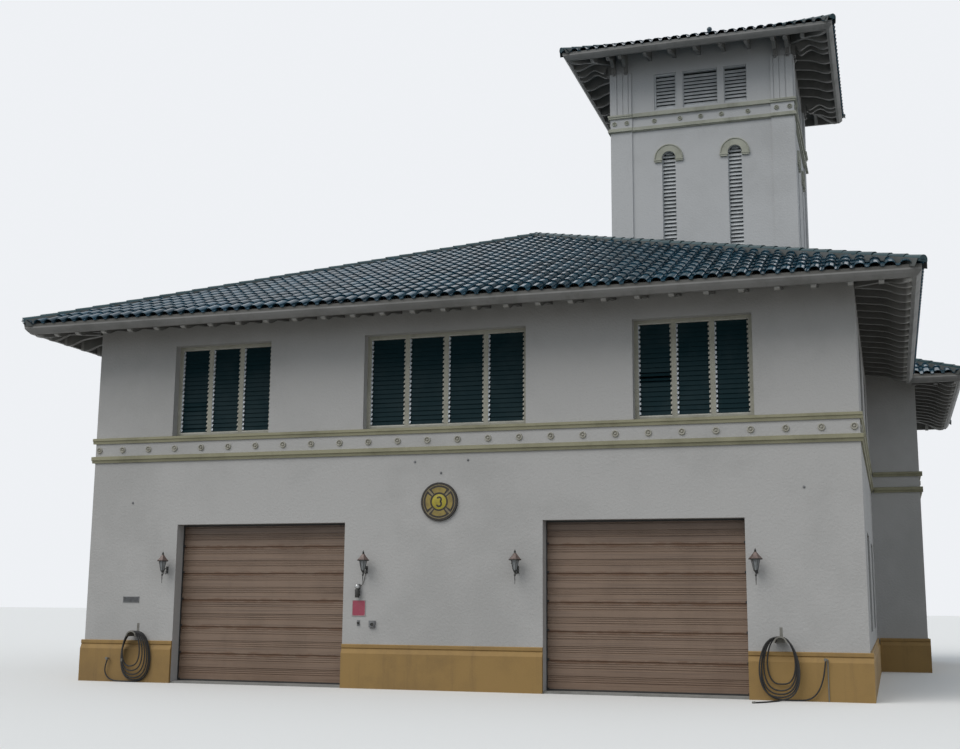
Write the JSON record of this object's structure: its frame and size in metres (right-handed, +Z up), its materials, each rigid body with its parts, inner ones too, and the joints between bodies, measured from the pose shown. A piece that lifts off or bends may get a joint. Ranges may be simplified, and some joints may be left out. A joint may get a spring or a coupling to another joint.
{
  "type": "fire station building",
  "caption": "Two-storey stucco fire station with hipped tile roofs, closed sectional vehicle doors, louvred windows and a square hose tower",
  "frame": {"origin": "middle of the plan at ground level, on the underside of the ground floor", "axes": "+X to the right as seen from the front, +Y from the vehicle doors to the back, +Z up"},
  "size_m": [19.92, 20.24, 18.1723],
  "materials": {
    "stucco": "painted stucco on masonry, off-white, lightly streaked",
    "plinth_paint": "ochre masonry paint, scuffed at the foot",
    "moulding_paint": "olive-cream masonry paint",
    "window_paint": "olive-cream gloss paint",
    "louvre_glass": "dark blue-green louvre glass",
    "door_paint": "tan paint with rusty streaks",
    "eave_paint": "grey-taupe paint, satin",
    "roof_deck": "painted boards below, battens above",
    "roof_tile": "dark green glaze, glossy",
    "louvre_paint": "grey-white paint, weathered",
    "concrete": "trowelled concrete",
    "badge_enamel": "gold and black enamel",
    "lantern_metal": "grey-green weathered metal with a coppery cap",
    "notice_paint": "faded red",
    "black_fittings": "black",
    "hose_rubber": "black rubber hose, satin",
    "brass_fittings": "dull brass and galvanised sheet",
    "grey_fittings": "dull grey"
  },
  "bodies": {
    "root": {"back_door": "door_paint", "back_roof": "roof_deck", "back_wall": "stucco", "badge": "badge_enamel", "belt_course": "moulding_paint", "call_bell": "black_fittings", "front_roof": "roof_deck", "front_wall": "stucco", "front_window_frames": "window_paint", "front_window_glass": "louvre_glass", "ground_floor": "concrete", "hose_brackets": "brass_fittings", "hose_couplings": "brass_fittings", "left_hose_coil": "hose_rubber", "left_hose_tail": "hose_rubber", "left_roof": "roof_deck", "left_vehicle_door": "door_paint", "left_wall": "stucco", "main_fascia": "eave_paint", "main_rafters": "eave_paint", "notice_board": "notice_paint", "plinth": "plinth_paint", "right_hose_coil": "hose_rubber", "right_hose_end": "hose_rubber", "right_hose_tail": "hose_rubber", "right_roof": "roof_deck", "right_vehicle_door": "door_paint", "right_wall": "stucco", "side_and_back_window_frames": "window_paint", "side_and_back_window_glass": "louvre_glass", "tower_brackets": "eave_paint", "tower_fascia": "eave_paint", "tower_finial": "roof_tile", "tower_front_and_back_walls": "stucco", "tower_louvre_panels": "louvre_paint", "tower_mouldings": "moulding_paint", "tower_pilasters": "stucco", "tower_rafters": "eave_paint", "tower_roof": "roof_deck", "tower_side_walls": "stucco", "upper_floor": "concrete", "wall_boxes": "grey_fittings", "wall_lanterns": "lantern_metal", "wing_roofs": "roof_deck", "wing_walls": "stucco"}
  },
  "joints": []
}
